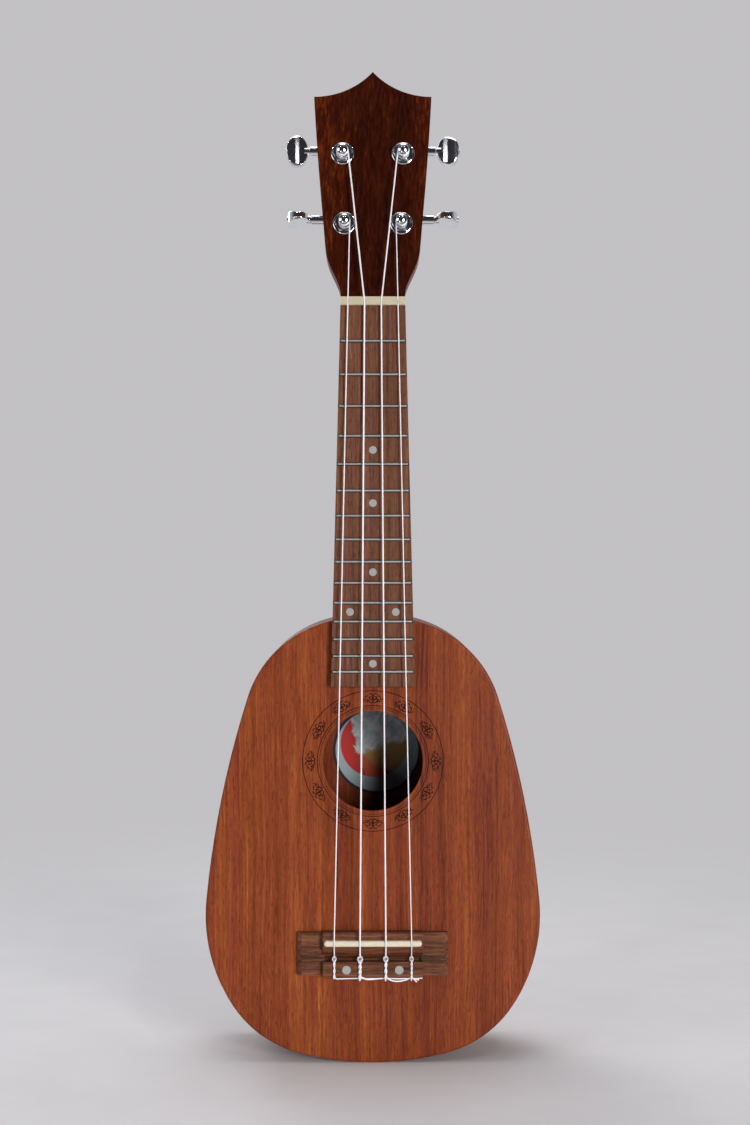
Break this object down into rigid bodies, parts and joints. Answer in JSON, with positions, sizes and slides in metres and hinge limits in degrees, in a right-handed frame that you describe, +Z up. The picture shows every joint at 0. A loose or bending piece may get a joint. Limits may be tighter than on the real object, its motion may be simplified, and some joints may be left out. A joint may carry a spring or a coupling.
{
  "type": "pineapple soprano ukulele",
  "caption": "Upright pineapple-shaped soprano ukulele: hollow hardwood body with round soundhole and scroll rosette, tie bridge, fretted neck and pointed headstock with turning geared tuners",
  "frame": {"origin": "centre line, plane of the soundboard's outer face, at the fingerboard's end against the nut; also the level of the hanger's support", "axes": "+X to the right of someone facing the instrument, +Y from the face to the back, +Z up along the neck towards the headstock"},
  "size_m": [0.184, 0.0724, 0.5508],
  "materials": {
    "face_wood": "satin reddish-brown hardwood with vertical ribbon grain",
    "body_wood": "satin reddish-brown hardwood",
    "inner_wood": "bare sanded wood",
    "neck_wood": "satin dark reddish-brown hardwood",
    "head_wood": "satin dark red-brown veneer, darker down the middle",
    "board_wood": "matte walnut with dark streaks",
    "fret_wire": "polished fret wire",
    "pearl": "pearly grey-white inlay",
    "cream": "cream bone-like plastic, lightly polished",
    "string": "milky white synthetic string",
    "chrome": "mirror chrome",
    "brass": "machined",
    "steel": "turned and plated",
    "label_paper": "printed paper"
  },
  "bodies": {
    "root": {"soundboard": "face_wood", "back_plate": "body_wood", "side_left": "body_wood", "side_right": "body_wood", "neck_block": "inner_wood", "tail_block": "inner_wood", "top_linings": "inner_wood", "back_linings": "inner_wood", "transverse_braces": "inner_wood", "bridge_plate": "inner_wood", "fan_braces": "inner_wood", "back_braces": "inner_wood", "label": "label_paper", "neck": "neck_wood", "head_plate": "head_wood", "fingerboard": "board_wood", "bridge": "board_wood", "frets": "fret_wire", "position_dots": "pearl", "bridge_dots": "pearl", "nut": "cream", "saddle": "cream", "bridge_bolts": "steel", "bridge_nuts": "steel", "string_g": "string", "string_c": "string", "string_e": "string", "string_a": "string", "tuner_covers": "chrome", "tuner_bushings": "chrome", "tuner_washers": "chrome", "tuner_mounting_screws": "chrome", "tuner_housing_1": "chrome", "tuner_housing_2": "chrome", "tuner_housing_3": "chrome", "tuner_housing_4": "chrome"},
    "tuner_knob_1": {"worm_shaft_1": "steel", "button_1": "chrome", "button_screw_1": "chrome"},
    "string_post_1": {"post_1": "chrome", "gear_1": "brass", "winding_1": "string"},
    "tuner_knob_2": {"worm_shaft_2": "steel", "button_2": "chrome", "button_screw_2": "chrome"},
    "string_post_2": {"post_2": "chrome", "gear_2": "brass", "winding_2": "string"},
    "tuner_knob_3": {"worm_shaft_3": "steel", "button_3": "chrome", "button_screw_3": "chrome"},
    "string_post_3": {"post_3": "chrome", "gear_3": "brass", "winding_3": "string"},
    "tuner_knob_4": {"worm_shaft_4": "steel", "button_4": "chrome", "button_screw_4": "chrome"},
    "string_post_4": {"post_4": "chrome", "gear_4": "brass", "winding_4": "string"}
  },
  "joints": [
    {"name": "knob_g_turn", "type": "hinge", "parent": "root", "child": "tuner_knob_1", "pos_m": [-0.0157, 0.02727, 0.0529], "axis": [1, 0, 0], "continuous": true},
    {"name": "post_g_turn", "type": "hinge", "parent": "root", "child": "string_post_1", "pos_m": [-0.0157, 0.00745, 0.04705], "axis": [0, -0.9848, 0.1736], "continuous": true},
    {"name": "knob_c_turn", "type": "hinge", "parent": "root", "child": "tuner_knob_2", "pos_m": [-0.0169, 0.03435, 0.09308], "axis": [1, 0, 0], "continuous": true},
    {"name": "post_c_turn", "type": "hinge", "parent": "root", "child": "string_post_2", "pos_m": [-0.0169, 0.01453, 0.08723], "axis": [0, -0.9848, 0.1736], "continuous": true},
    {"name": "knob_e_turn", "type": "hinge", "parent": "root", "child": "tuner_knob_3", "pos_m": [0.0169, 0.03435, 0.09308], "axis": [1, 0, 0], "continuous": true},
    {"name": "post_e_turn", "type": "hinge", "parent": "root", "child": "string_post_3", "pos_m": [0.0169, 0.01453, 0.08723], "axis": [0, -0.9848, 0.1736], "continuous": true},
    {"name": "knob_a_turn", "type": "hinge", "parent": "root", "child": "tuner_knob_4", "pos_m": [0.0157, 0.02727, 0.0529], "axis": [1, 0, 0], "continuous": true},
    {"name": "post_a_turn", "type": "hinge", "parent": "root", "child": "string_post_4", "pos_m": [0.0157, 0.00745, 0.04705], "axis": [0, -0.9848, 0.1736], "continuous": true}
  ],
  "couplings": [
    {"joint": "post_g_turn", "follows": "knob_g_turn", "ratio": 0.071429},
    {"joint": "post_c_turn", "follows": "knob_c_turn", "ratio": 0.071429},
    {"joint": "post_e_turn", "follows": "knob_e_turn", "ratio": 0.071429},
    {"joint": "post_a_turn", "follows": "knob_a_turn", "ratio": 0.071429}
  ]
}
